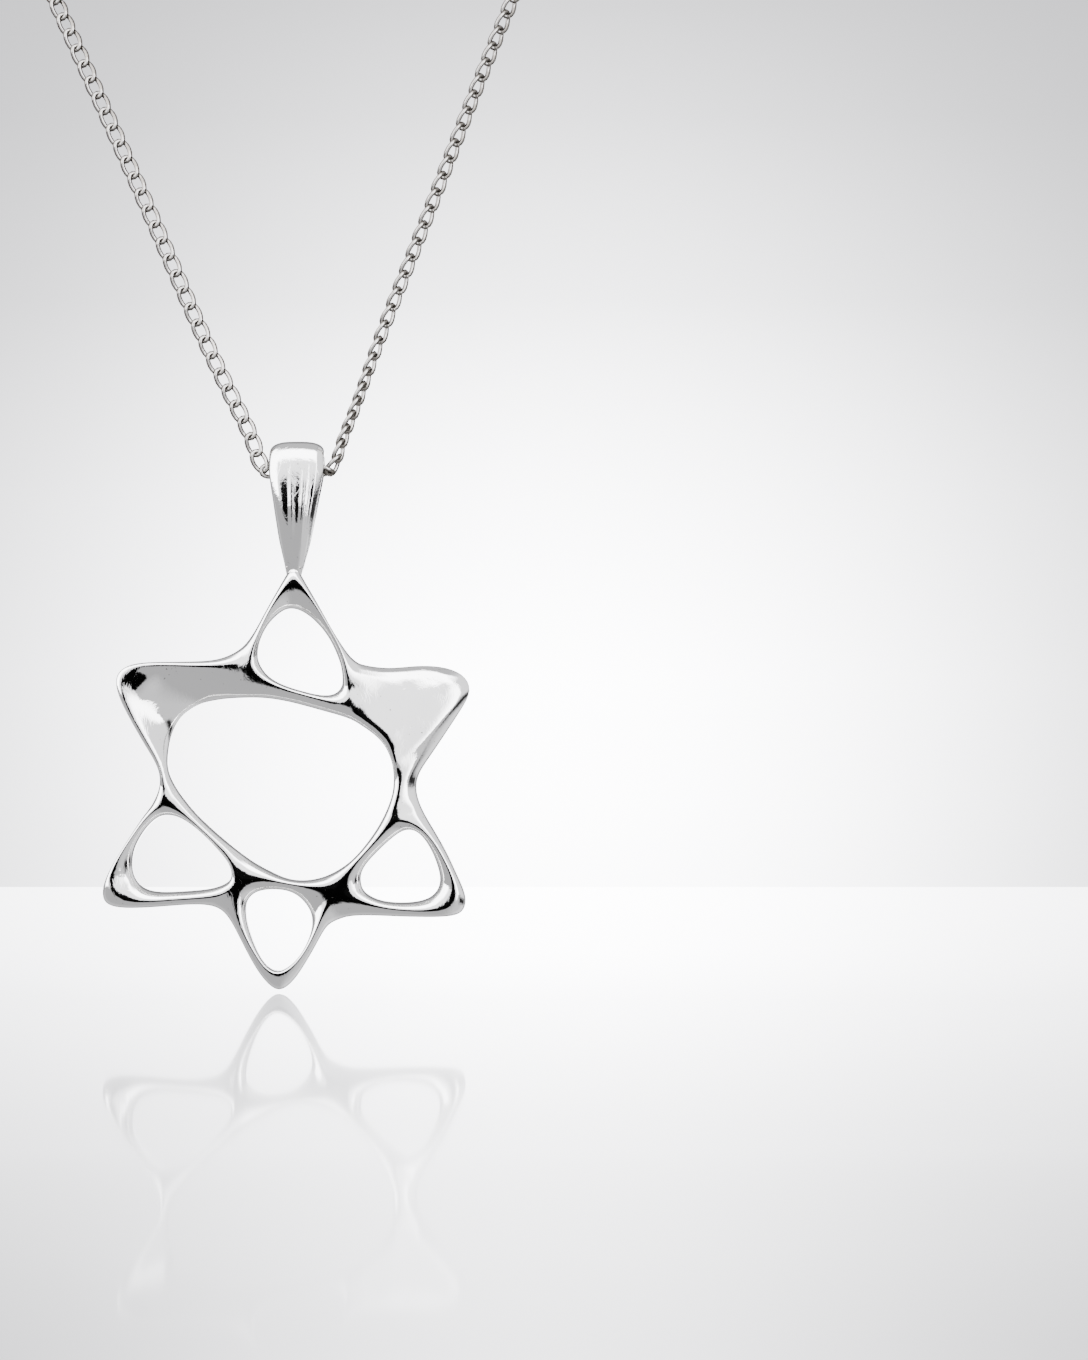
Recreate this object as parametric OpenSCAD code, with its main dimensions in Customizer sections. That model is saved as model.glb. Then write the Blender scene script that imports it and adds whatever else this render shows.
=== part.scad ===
// Six-pointed freeform star pendant with its strap bail, on a fine curb chain.
// Millimetres. The origin is the middle of the clasp at the nape; front is -Y, up is +Z.
// Tables hold shares of the named sizes, in thousandths unless their comment says otherwise.

/* [Star] */
// Width of the star across its side points
star_width = 35.2; // [28:0.1:42]
// Height of the star from its bottom point to its top point
star_height = 40.2; // [32:0.1:48]
// Thickness of the struts, front crest to back crest
star_thickness = 3.2; // [2.4:0.1:4]
// How far the outer edge of each solid leaf leaves the middle plane
leaf_rim_offset = 1.2; // [0.4:0.1:1.6]
// How far the middle of each solid leaf leaves the middle plane, the other way
leaf_web_offset = 0.3; // [0:0.1:0.8]
// How far the inner edge of each solid leaf leaves the middle plane, the other way
leaf_inner_offset = 1.0; // [0.4:0.1:1.4]

/* [Bail] */
// Width of the strap bail at its top
bail_width = 5.3; // [4:0.1:7]
// Height of the bail from the star's top point to its own top
bail_height = 12.6; // [10:0.1:16]
// Wall of the bail's front and back straps
bail_wall = 1.1; // [0.8:0.1:1.6]
// Wall of the bail over the chain
bail_top_wall = 1.4; // [1:0.1:2]
// Height of the ribs on the bail's front strap
bail_rib = 0.1; // [0:0.01:0.15]
// How far the bail's foot stands to the left of its top
bail_lean = 0.3; // [0:0.1:0.8]

/* [Chain] */
// Width of the curb chain
chain_width = 1.7; // [1.2:0.1:2.4]
// Widest part of the worn loop
loop_width = 99; // [80:1:120]
// How far behind the pendant the nape lies
nape_back = 104.5; // [80:0.5:130]
// How far above the pendant's seat the nape lies
nape_rise = 136; // [110:1:160]

/* [Clasp] */
// Outer diameter of the spring ring clasp
clasp_width = 6.3; // [5:0.1:8]
// Wire of the spring ring clasp
clasp_wire = 1.1; // [0.9:0.1:1.4]
// Outer diameter of the clasp's own small loop
clasp_loop_width = 2.5; // [2.3:0.1:3]
// Wire of the clasp's own small loop
clasp_loop_wire = 0.7; // [0.5:0.05:0.75]
// Outer diameter of the two end rings
end_ring_width = 3.2; // [2.9:0.1:4]
// Wire of the two end rings
end_ring_wire = 0.6; // [0.4:0.05:0.65]

/* [Clearances] */
// Between the chain and the bail's wall above it
seat_clearance = 0.2; // [0.1:0.05:0.4]
// Between the chain and the bail's front and back straps
strap_clearance = 0.6; // [0.3:0.05:1]
// Between the chain and the bail's side edges
edge_clearance = 0.25; // [0.15:0.05:0.6]
// Between the two halves of the chain inside the bail
chain_gap = 0.2; // [0.1:0.05:0.4]
// Between the chain and the end rings
ring_gap = 0.25; // [0.15:0.05:0.5]

/* [Fineness] */
// Steps along the star between two rows of a table
star_steps_along = 2; // [1:1:3]
// Steps across each side of a strut, from its crest to its edge
star_steps_across = 4; // [3:1:4]
// Sides of the chain's tube
chain_sides = 8; // [6:1:8]

/* [Hidden] */
$fn = 48;
thousand = 1000;
silver = [0.86, 0.87, 0.88];
dull_silver = [0.74, 0.74, 0.73];

// A row of a star table: crest, inner edge and outer edge, each [x, z] in thousandths of the
// star's width and height, then the thickness and the leaf offsets as shares of their sizes.
crest_col = 0;
inner_col = 1;
outer_col = 2;
thick_col = 3;
leaf_col = 4;

// The six places where struts meet, clockwise from the upper left
meet_upper_left = [395, 764];
meet_upper_right = [676, 675];
meet_right = [793, 410];
meet_lower_right = [640, 243];
meet_lower_left = [373, 262];
meet_left = [168, 448];

// The ring of struts and leaves round the great opening, clockwise
top_bar = [
    [meet_upper_left, [378, 699], [425, 780], 1, 0],
    [[444, 740], [436, 700], [452, 748], 1, 0],
    [[496, 721], [496, 692], [496, 728], 1, 0],
    [[547, 708], [547, 681], [547, 715], 1, 0],
    [[599, 696], [599, 668], [597, 704], 1, 0],
    [[643, 685], [646, 657], [635, 706], 1, 0],
    [meet_upper_right, [681, 647], [654, 725], 1, 0]
];
right_leaf = [
    [meet_upper_right, [681, 647], [708, 777], 1, 0],
    [[722, 662], [708, 632], [779, 767], 0.85, -0.5],
    [[764, 648], [736, 616], [850, 776], 0.75, -0.8],
    [[799, 628], [758, 599], [923, 775], 0.7, -1],
    [[818, 604], [773, 582], [983, 758], 0.65, -1],
    [[826, 582], [782, 565], [1010, 718], 0.65, -1],
    [[827, 561], [789, 549], [978, 670], 0.65, -1],
    [[824, 540], [793, 531], [935, 613], 0.7, -0.9],
    [[818, 517], [795, 511], [891, 555], 0.8, -0.7],
    [[814, 493], [794, 490], [861, 518], 0.9, -0.5],
    [[810, 468], [791, 470], [854, 484], 1, -0.4],
    [[804, 440], [783, 448], [861, 456], 1, -0.2],
    [meet_right, [771, 422], [872, 432], 1, 0]
];
right_bar = [
    [meet_right, [771, 422], [809, 377], 1, 0],
    [[766, 379], [749, 386], [777, 354], 1, 0],
    [[733, 346], [719, 349], [742, 324], 1, 0],
    [[700, 315], [687, 316], [715, 298], 1, 0],
    [[670, 284], [654, 293], [703, 274], 1, 0],
    [meet_lower_right, [618, 275], [706, 251], 1, 0]
];
bottom_bar = [
    [meet_lower_right, [618, 275], [567, 193], 1, 0],
    [[588, 245], [580, 265], [545, 219], 1, 0],
    [[539, 251], [539, 262], [515, 236], 1, 0],
    [[496, 258], [498, 268], [482, 241], 1, 0],
    [[452, 264], [457, 285], [449, 241], 1, 0],
    [[411, 267], [422, 301], [417, 235], 1, 0],
    [meet_lower_left, [392, 318], [397, 219], 1, 0]
];
left_bar = [
    [meet_lower_left, [392, 318], [355, 274], 1, 0],
    [[354, 309], [359, 341], [347, 303], 1, 0],
    [[316, 347], [327, 364], [318, 333], 1, 0],
    [[275, 382], [288, 394], [283, 366], 1, 0],
    [[234, 413], [250, 427], [245, 395], 1, 0],
    [[201, 433], [223, 456], [209, 415], 1, 0],
    [meet_left, [201, 482], [176, 420], 1, 0]
];
left_leaf = [
    [meet_left, [201, 482], [138, 448], 1, 0],
    [[168, 487], [185, 510], [157, 484], 1, 0],
    [[166, 520], [178, 537], [157, 518], 1, 0.1],
    [[157, 551], [178, 561], [141, 551], 0.95, 0.3],
    [[141, 585], [180, 585], [116, 586], 0.85, 0.6],
    [[130, 618], [185, 608], [88, 630], 0.75, 0.9],
    [[119, 651], [194, 630], [61, 673], 0.7, 1],
    [[116, 680], [206, 648], [40, 716], 0.7, 1],
    [[127, 702], [221, 662], [36, 753], 0.7, 1],
    [[152, 721], [242, 675], [66, 778], 0.7, 1],
    [[190, 735], [266, 686], [125, 785], 0.7, 1],
    [[239, 742], [297, 692], [187, 785], 0.75, 0.9],
    [[294, 749], [327, 696], [253, 786], 0.85, 0.6],
    [[346, 759], [354, 698], [318, 789], 0.95, 0.3],
    [meet_upper_left, [378, 699], [370, 810], 1, 0]
];
ring = [top_bar, right_leaf, right_bar, bottom_bar, left_bar, left_leaf];

// The four pierced points, each an arch from one meeting place to the next
top_arch = [
    [meet_upper_left, [425, 780], [370, 810], 1, 0],
    [[408, 809], [423, 811], [395, 832], 1, 0],
    [[425, 850], [434, 847], [417, 861], 1, 0],
    [[449, 897], [457, 881], [441, 901], 1, 0],
    [[477, 940], [485, 904], [470, 946], 1, 0],
    [[501, 969], [504, 912], [495, 984], 1, 0],
    [[521, 979], [520, 913], [523, 1009], 1, 0],
    [[545, 969], [539, 909], [549, 982], 1, 0],
    [[575, 933], [567, 894], [580, 937], 1, 0],
    [[607, 888], [599, 866], [613, 885], 1, 0],
    [[635, 845], [624, 834], [642, 841], 1, 0],
    [[657, 804], [643, 796], [667, 808], 1, 0],
    [[667, 761], [652, 771], [681, 793], 1, 0],
    [[673, 718], [655, 744], [696, 783], 1, 0],
    [meet_upper_right, [654, 725], [708, 777], 1, 0]
];
right_arch = [
    [meet_right, [809, 377], [872, 432], 1, 0],
    [[834, 405], [831, 384], [888, 407], 1, 0],
    [[872, 386], [854, 382], [906, 382], 1, 0],
    [[905, 355], [876, 365], [927, 351], 1, 0],
    [[929, 319], [897, 336], [947, 318], 1, 0],
    [[951, 281], [913, 302], [966, 281], 1, 0],
    [[962, 248], [923, 269], [983, 249], 1, 0],
    [[959, 222], [918, 244], [995, 217], 1, 0],
    [[943, 200], [901, 225], [985, 184], 1, 0],
    [[908, 190], [875, 215], [946, 175], 1, 0],
    [[858, 190], [839, 210], [894, 174], 1, 0],
    [[807, 193], [800, 210], [826, 175], 1, 0],
    [[755, 200], [760, 214], [755, 178], 1, 0],
    [[706, 213], [729, 226], [692, 179], 1, 0],
    [[670, 226], [712, 238], [657, 174], 1, 0],
    [meet_lower_right, [706, 251], [629, 164], 1, 0]
];
bottom_arch = [
    [meet_lower_right, [567, 193], [629, 164], 1, 0],
    [[613, 207], [573, 171], [614, 155], 1, 0],
    [[591, 160], [571, 145], [598, 133], 1, 0],
    [[569, 119], [560, 117], [579, 101], 1, 0],
    [[543, 81], [541, 85], [557, 68], 1, 0],
    [[512, 52], [512, 58], [526, 25], 1, 0],
    [[479, 38], [479, 42], [482, -10], 1, 0],
    [[447, 51], [449, 57], [440, 24], 1, 0],
    [[421, 84], [426, 88], [412, 61], 1, 0],
    [[392, 126], [408, 125], [385, 106], 1, 0],
    [[370, 169], [393, 167], [361, 149], 1, 0],
    [[361, 214], [391, 200], [339, 181], 1, 0],
    [meet_lower_left, [397, 219], [316, 198], 1, 0]
];
left_arch = [
    [meet_lower_left, [355, 274], [316, 198], 1, 0],
    [[337, 232], [343, 257], [286, 204], 1, 0],
    [[291, 222], [307, 244], [245, 205], 1, 0],
    [[237, 219], [261, 239], [196, 202], 1, 0],
    [[179, 216], [209, 236], [144, 198], 1, 0],
    [[125, 212], [157, 234], [92, 196], 1, 0],
    [[76, 213], [119, 240], [44, 196], 1, 0],
    [[35, 225], [95, 256], [3, 206], 1, 0],
    [[16, 250], [82, 279], [-3, 238], 1, 0],
    [[24, 286], [80, 308], [10, 274], 1, 0],
    [[51, 329], [86, 339], [40, 321], 1, 0],
    [[84, 372], [106, 372], [76, 370], 1, 0],
    [[116, 411], [130, 399], [108, 413], 1, 0],
    [[144, 434], [153, 415], [126, 433], 1, 0],
    [meet_left, [176, 420], [138, 448], 1, 0]
];
// Each arch, the bar that closes its hole and the places in the ring where it starts and ends
arches = [
    [top_arch, top_bar, 0, 1],
    [right_arch, right_bar, 2, 3],
    [bottom_arch, bottom_bar, 3, 4],
    [left_arch, left_bar, 4, 5]
];
outline_strips = [top_arch, right_leaf, right_arch, bottom_arch, left_arch, left_leaf];
// The sections' power where struts meet, 1 being an ellipse, and how many rows it takes to reach 1
meet_power = 0.65;
meet_reach = 2;

// Rows of the bail from its top down the front: the outer surface [y, z], the inner surface
// [y, z], the half width and the ribs' height. Heights are thousandths of bail_height, outer
// depths of half the bail's depth, inner depths of half its hollow, widths of half bail_width.
bail_rows = [
    [[0, 0], [0, 111], 1000, 0],
    [[400, 14], [350, 120], 1000, 0],
    [[740, 60], [680, 145], 1000, 100],
    [[930, 145], [900, 185], 1000, 500],
    [[1000, 250], [1000, 245], 990, 1000],
    [[1000, 370], [1000, 350], 920, 1000],
    [[970, 490], [930, 470], 820, 900],
    [[890, 600], [780, 570], 740, 400],
    [[760, 700], [560, 650], 660, 100],
    [[610, 800], [340, 720], 580, 0],
    [[480, 900], [160, 780], 500, 0],
    [[400, 990], [70, 810], 410, 0],
    [[330, 1080], [20, 825], 350, 0],
    [[0, 1110], [0, 830], 320, 0]
];
bail_section_steps = 20;
bail_section_power = 2 / 3;
// The ribs from left to right: place, half width and height, the first two in thousandths of the
// strap's half width
bail_ribs = [[-490, 300, 1000], [40, 220, 900], [540, 240, 900]];

// Points of the chain's two halves from the bail to the nape: thousandths of the reach from
// the bail's side to the loop's widest part, of nape_back and of nape_rise
right_front_route = [
    [2, 0, 5], [12, 0, 20], [40, 0, 41], [84, 1, 86], [167, 3, 156], [250, 10, 230], [361, 29, 329],
    [487, 62, 426], [640, 124, 529], [793, 220, 632], [924, 344, 728]
];
left_front_route = [
    [2, 0, 5], [12, 0, 20], [44, 0, 41], [110, 1, 86], [198, 4, 156], [296, 11, 231], [429, 31, 329],
    [553, 66, 421], [695, 128, 523], [826, 221, 627], [935, 344, 725]
];
back_route = [
    [1000, 488, 808], [989, 641, 875], [880, 785, 926], [684, 890, 963], [444, 957, 985], [200, 990, 997]
];

// Sizes and places worked out from the ones above
chain_radius = chain_width / 2;
hollow_half_depth = chain_radius + strap_clearance;
bail_half_depth = hollow_half_depth + bail_wall;
seat_depth = bail_top_wall + seat_clearance + chain_radius;
seat = [0, -nape_back, -nape_rise];
bail_top = seat[2] + seat_depth;
tip_share = 523 / thousand;
star_left = seat[0] - bail_lean - tip_share * star_width;
star_bottom = bail_top - bail_height - star_height;
chain_out = bail_width / 2 + chain_radius + edge_clearance;
clasp_ring_radius = (clasp_width - clasp_wire) / 2;
clasp_loop_radius = (clasp_loop_width - clasp_loop_wire) / 2;
clasp_loop_place = -clasp_width / 2 - clasp_loop_radius + clasp_loop_wire / 2 - clasp_loop_wire / 4;
end_ring_radius = (end_ring_width - end_ring_wire) / 2;
right_ring_place = clasp_ring_radius - clasp_wire / 2 - end_ring_wire / 2 - ring_gap + end_ring_radius;
left_ring_place = clasp_loop_place - end_ring_radius;
right_chain_end = right_ring_place + end_ring_width / 2 + ring_gap;
left_chain_end = left_ring_place - end_ring_width / 2 - ring_gap;

// One span of a smooth curve through four neighbouring points
function smooth(a, b, c, d, t) =
    (pow(1 - t, 3) * a + (3 * pow(t, 3) - 6 * pow(t, 2) + 4) * b
    + (-3 * pow(t, 3) + 3 * pow(t, 2) + 3 * t + 1) * c + pow(t, 3) * d) / 6;
function smooth_loop(list, steps) =
    let (n = len(list))
    [for (i = [0 : n - 1], k = [0 : steps - 1])
        smooth(list[(i + n - 1) % n], list[i], list[(i + 1) % n], list[(i + 2) % n], k / steps)];
function smooth_path(list, steps) =
    let (n = len(list), before = 2 * list[0] - list[1], after = 2 * list[n - 1] - list[n - 2],
        all_points = concat([before], list, [after]))
    [for (i = [0 : n - 2], k = [0 : (i == n - 2 ? steps : steps - 1)])
        smooth(all_points[i], all_points[i + 1], all_points[i + 2], all_points[i + 3], k / steps)];
function add(list, last) = last < 0 ? 0 : list[last] + add(list, last - 1);
function join(lists) = [for (list = lists, item = list) item];

// The star's own points. An edge point is [x, y, z] and a crest point [x, y, z, half thickness].
function star_x(share) = star_left + share / thousand * star_width;
function star_z(share) = star_bottom + share / thousand * star_height;
function crest_point(row) =
    [star_x(row[crest_col][0]), seat[1] + row[leaf_col] * leaf_web_offset,
        star_z(row[crest_col][1]), row[thick_col] * star_thickness / 2];
function inner_point(row) =
    [star_x(row[inner_col][0]), seat[1] + row[leaf_col] * leaf_inner_offset, star_z(row[inner_col][1])];
function outer_point(row) =
    [star_x(row[outer_col][0]), seat[1] - row[leaf_col] * leaf_rim_offset, star_z(row[outer_col][1])];
function spans(strip) = len(strip) - 1;
function first_rows(strip) = [for (i = [0 : spans(strip) - 1]) strip[i]];

ring_spans = [for (strip = ring) spans(strip)];
ring_starts = [for (i = [0 : len(ring) - 1]) add(ring_spans, i - 1) * star_steps_along];
ring_crest = smooth_loop([for (strip = ring, row = first_rows(strip)) crest_point(row)], star_steps_along);
ring_inner = smooth_loop([for (strip = ring, row = first_rows(strip)) inner_point(row)], star_steps_along);
outline = smooth_loop(
    [for (strip = outline_strips, row = first_rows(strip)) outer_point(row)], star_steps_along);
outline_spans = [for (strip = outline_strips) spans(strip)];
outline_starts = [for (i = [0 : len(outline_strips) - 1]) add(outline_spans, i - 1) * star_steps_along];
holes = [for (arch = arches)
    smooth_loop(concat(
        [for (row = first_rows(arch[1])) outer_point(row)],
        [for (i = [spans(arch[0]) : -1 : 1]) inner_point(arch[0][i])]), star_steps_along)];
arch_crests = [for (arch = arches)
    let (last = spans(arch[0]), rows = arch[0])
    smooth_path(concat(
        [ring_crest[ring_starts[arch[2]]]],
        [for (i = [1 : last - 1]) crest_point(rows[i])],
        [ring_crest[ring_starts[arch[3]]]]), star_steps_along)];

function ends_fixed(path, first, last) =
    [for (i = [0 : len(path) - 1]) i == 0 ? first : i == len(path) - 1 ? last : path[i]];
function stretch(loop, start, count) = [for (i = [0 : count]) loop[(start + i) % len(loop)]];
function backward(loop, count) = [for (i = [0 : count]) loop[(len(loop) - i) % len(loop)]];

// One side of a section, from its crest to its edge. Angle 0 is the crest and 90 the edge.
function side_point(crest, edge, lean, angle, face, power) =
    let (s = pow(sin(angle), power), middle = crest[1] + lean * s + (edge[1] - crest[1] - lean) * s * s)
    [crest[0] + (edge[0] - crest[0]) * s, middle + face * crest[3] * pow(cos(angle), power),
        crest[2] + (edge[2] - crest[2]) * s];
function flat_distance(a, b) = norm([a[0] - b[0], a[2] - b[2]]);
// A whole section: back from the inner edge to the outer edge, then the front the other way. Rows
// is how many rows of the table it lies from the nearer meeting place, where it is flat on top.
function section(crest, inner, outer, rows) =
    let (k = star_steps_across,
        inner_run = flat_distance(crest, inner), outer_run = flat_distance(crest, outer),
        lean = min(1, rows) * (outer[1] - inner[1]) / (inner_run + outer_run),
        power = meet_power + (1 - meet_power) * min(1, rows / meet_reach))
    concat(
        [for (i = [k : -1 : 1]) side_point(crest, inner, -lean * inner_run, 90 * i / k, 1, power)],
        [for (i = [0 : k]) side_point(crest, outer, lean * outer_run, 90 * i / k, 1, power)],
        [for (i = [k - 1 : -1 : 1]) side_point(crest, outer, lean * outer_run, 90 * i / k, -1, power)],
        [for (i = [0 : k - 1]) side_point(crest, inner, -lean * inner_run, 90 * i / k, -1, power)]);
function strip_sections(crests, inners, outers) =
    let (last = len(crests) - 1)
    [for (i = [0 : last]) section(crests[i], inners[i], outers[i], min(i, last - i) / star_steps_along)];
// Triangles between neighbouring rings of points
function skin(rings, sides, first) =
    [for (i = [0 : rings - 2], j = [0 : sides - 1])
        let (a = first + i * sides + j, b = first + i * sides + (j + 1) % sides)
        each [[a, b + sides, b], [a, a + sides, b + sides]]];

ring_sections = [for (i = [0 : len(ring) - 1])
    let (count = spans(ring[i]) * star_steps_along,
        arch_index = [for (j = [0 : len(arches) - 1]) if (arches[j][2] == i && arches[j][1] == ring[i]) j],
        leaf_index = i == 1 ? 1 : len(outline_strips) - 1)
    strip_sections(
        stretch(ring_crest, ring_starts[i], count),
        stretch(ring_inner, ring_starts[i], count),
        len(arch_index) > 0 ? stretch(holes[arch_index[0]], 0, count)
            : stretch(outline, outline_starts[leaf_index], count))];
arch_outline_index = [0, 2, 3, 4];
arch_sections = [for (j = [0 : len(arches) - 1])
    let (count = spans(arches[j][0]) * star_steps_along)
    strip_sections(
        ends_fixed(
            arch_crests[j], ring_crest[ring_starts[arches[j][2]]], ring_crest[ring_starts[arches[j][3]]]),
        backward(holes[j], count),
        stretch(outline, outline_starts[arch_outline_index[j]], count))];
star_strips = concat(ring_sections, arch_sections);
section_sides = 4 * star_steps_across;

module star_body() {
    first = [for (i = [0 : len(star_strips) - 1]) add([for (s = star_strips) len(s) * section_sides], i - 1)];
    polyhedron(
        points = [for (strip = star_strips, section_points = strip, p = section_points) p],
        faces = [for (i = [0 : len(star_strips) - 1])
            each skin(len(star_strips[i]), section_sides, first[i])]);
}

// The bail: rows down the front, then the same rows up the back without the ribs
function bail_loop() =
    let (last = len(bail_rows) - 1)
    concat([for (i = [0 : last]) [bail_rows[i], -1]], [for (i = [last - 1 : -1 : 1]) [bail_rows[i], 1]]);
function rib_height(across, rib) =
    let (off = abs(across * thousand - rib[0]) / rib[1])
    off < 1 ? rib[2] / thousand * pow(cos(90 * off), 2) : 0;
function bail_point(row, face, angle) =
    let (c = cos(angle),
        across = sign(c) * pow(abs(c), bail_section_power),
        ribs = add([for (rib = bail_ribs) rib_height(across, rib)], len(bail_ribs) - 1),
        rib = face < 0 ? row[3] / thousand * bail_rib * ribs : 0,
        rise = pow(abs(sin(angle)), bail_section_power),
        outer_y = row[0][0] / thousand * bail_half_depth + rib * rise,
        inner_y = row[1][0] / thousand * hollow_half_depth,
        outer_z = row[0][1] / thousand * bail_height,
        inner_z = max(row[1][1] / thousand * bail_height, bail_top_wall),
        down = inner_z + (outer_z - inner_z) * rise)
    [seat[0] - bail_lean * min(1, down / bail_height) + across * row[2] / thousand * bail_width / 2,
        seat[1] + face * (inner_y + (outer_y - inner_y) * rise),
        bail_top - down];
module bail_body() {
    loop = bail_loop();
    sides = bail_section_steps + 1;
    rings = [for (item = concat(loop, [loop[0]]))
        [for (i = [0 : bail_section_steps]) bail_point(item[0], item[1], 180 * i / bail_section_steps)]];
    polyhedron(points = join(rings), faces = skin(len(rings), sides, 0));
}

module star_and_bail() {
    color(silver) union() {
        star_body();
        bail_body();
    }
}

// The chain's tube: rings of points square to the route
function route_point(side, p) =
    seat + [side * (chain_out + p[0] / thousand * (loop_width / 2 - chain_out)),
        p[1] / thousand * nape_back, p[2] / thousand * nape_rise];
function chain_route(side, front, end_place) =
    concat(
        [seat + [side * chain_gap / 2, 0, 0], seat + [side * bail_width / 4, 0, 0],
            seat + [side * bail_width / 2, 0, 0], seat + [side * (chain_out - chain_radius / 4), 0, 0]],
        [for (p = concat(front, back_route)) route_point(side, p)],
        [[end_place, 0, 0]]);
function unit(v) = v / norm(v);
function tube_ring(centre, along) =
    let (up = unit(cross(along, [0, 1, 0])), out = unit(cross(along, up)))
    [for (i = [0 : chain_sides - 1])
        let (angle = 360 * (i + 0.5) / chain_sides)
        centre + chain_radius * (cos(angle) * up + sin(angle) * out)];
module chain_tube(side, front, end_place) {
    path = smooth_path(chain_route(side, front, end_place), 2);
    last = len(path) - 1;
    rings = [for (i = [0 : last])
        tube_ring(path[i], unit(path[min(i + 1, last)] - path[max(i - 1, 0)]))];
    polyhedron(
        points = join(rings),
        faces = concat(
            skin(len(rings), chain_sides, 0),
            [for (i = [1 : chain_sides - 2]) [0, i, i + 1]],
            [for (i = [1 : chain_sides - 2])
                [last * chain_sides, last * chain_sides + i + 1, last * chain_sides + i]]));
}
module chain_left() {
    color(dull_silver) chain_tube(-1, left_front_route, left_chain_end);
}
module chain_right() {
    color(dull_silver) chain_tube(1, right_front_route, right_chain_end);
}

module wire_ring(radius, wire) {
    rotate_extrude() translate([radius, 0]) circle(d = wire);
}
module clasp() {
    color(silver) union() {
        rotate([90, 0, 0]) wire_ring(clasp_ring_radius, clasp_wire);
        translate([clasp_loop_place, 0, 0]) rotate([90, 0, 0]) wire_ring(clasp_loop_radius, clasp_loop_wire);
    }
}
module end_ring_left() {
    color(silver) translate([left_ring_place, 0, 0]) wire_ring(end_ring_radius, end_ring_wire);
}
module end_ring_right() {
    color(silver) translate([right_ring_place, 0, 0]) wire_ring(end_ring_radius, end_ring_wire);
}

star_and_bail();
chain_left();
chain_right();
clasp();
end_ring_left();
end_ring_right();
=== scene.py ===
"""The star pendant's looks: polished star, ribbed bail, curb chain, clasp, floor, light, camera."""

import math

import bmesh
import bpy
import numpy as np
from mathutils import Matrix, Vector


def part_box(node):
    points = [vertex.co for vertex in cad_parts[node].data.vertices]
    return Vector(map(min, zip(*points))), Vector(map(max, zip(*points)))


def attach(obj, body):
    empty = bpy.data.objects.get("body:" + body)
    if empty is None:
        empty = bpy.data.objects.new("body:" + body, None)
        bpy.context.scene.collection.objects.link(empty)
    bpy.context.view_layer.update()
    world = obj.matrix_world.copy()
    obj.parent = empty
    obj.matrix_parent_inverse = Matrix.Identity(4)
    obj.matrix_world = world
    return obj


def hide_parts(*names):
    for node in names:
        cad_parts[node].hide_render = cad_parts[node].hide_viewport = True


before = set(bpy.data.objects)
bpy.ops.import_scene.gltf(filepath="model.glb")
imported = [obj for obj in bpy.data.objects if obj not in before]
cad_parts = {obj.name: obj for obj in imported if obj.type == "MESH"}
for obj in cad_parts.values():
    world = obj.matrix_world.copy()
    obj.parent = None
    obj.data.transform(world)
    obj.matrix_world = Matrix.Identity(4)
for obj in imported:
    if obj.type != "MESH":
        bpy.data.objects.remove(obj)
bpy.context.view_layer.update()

# Sizes in metres, the same as in the part's source
STAR_WIDTH = 0.0352
STAR_HEIGHT = 0.0402
STAR_THICKNESS = 0.0032
LEAF_RIM_OFFSET = 0.0012
LEAF_WEB_OFFSET = 0.0003
LEAF_INNER_OFFSET = 0.0010
BAIL_WIDTH = 0.0053
BAIL_HEIGHT = 0.0126
BAIL_WALL = 0.0011
BAIL_TOP_WALL = 0.0014
BAIL_RIB = 0.0001
BAIL_LEAN = 0.0003
CHAIN_WIDTH = 0.0017
LOOP_WIDTH = 0.099
NAPE_BACK = 0.1045
NAPE_RISE = 0.136
SEAT_CLEARANCE = 0.0002
STRAP_CLEARANCE = 0.0006
EDGE_CLEARANCE = 0.00025

SEAT = Vector((0, -NAPE_BACK, -NAPE_RISE))
CHAIN_RADIUS = CHAIN_WIDTH / 2
HOLLOW_HALF_DEPTH = CHAIN_RADIUS + STRAP_CLEARANCE
BAIL_HALF_DEPTH = HOLLOW_HALF_DEPTH + BAIL_WALL
BAIL_TOP = SEAT.z + BAIL_TOP_WALL + SEAT_CLEARANCE + CHAIN_RADIUS
# How far across the star its top tip lies
TIP_SHARE = 0.523
STAR_LEFT = SEAT.x - BAIL_LEAN - TIP_SHARE * STAR_WIDTH
STAR_BOTTOM = BAIL_TOP - BAIL_HEIGHT - STAR_HEIGHT
CHAIN_OUT = BAIL_WIDTH / 2 + CHAIN_RADIUS + EDGE_CLEARANCE
THOUSAND = 1000

# A row of a star table: crest, inner edge and outer edge, each [x, z] in thousandths of the
# star's width and height, then the thickness and the leaf offsets as shares of their sizes. A
# sixth value says how much of its lean towards the outer edge a section has at its crest; without
# it the lean grows in over the row next to a meeting place.

# The six places where struts meet, clockwise from the upper left
MEET_UPPER_LEFT = [395, 764]
MEET_UPPER_RIGHT = [676, 675]
MEET_RIGHT = [793, 410]
MEET_LOWER_RIGHT = [640, 243]
MEET_LOWER_LEFT = [369, 255]
MEET_LEFT = [168, 448]

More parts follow.
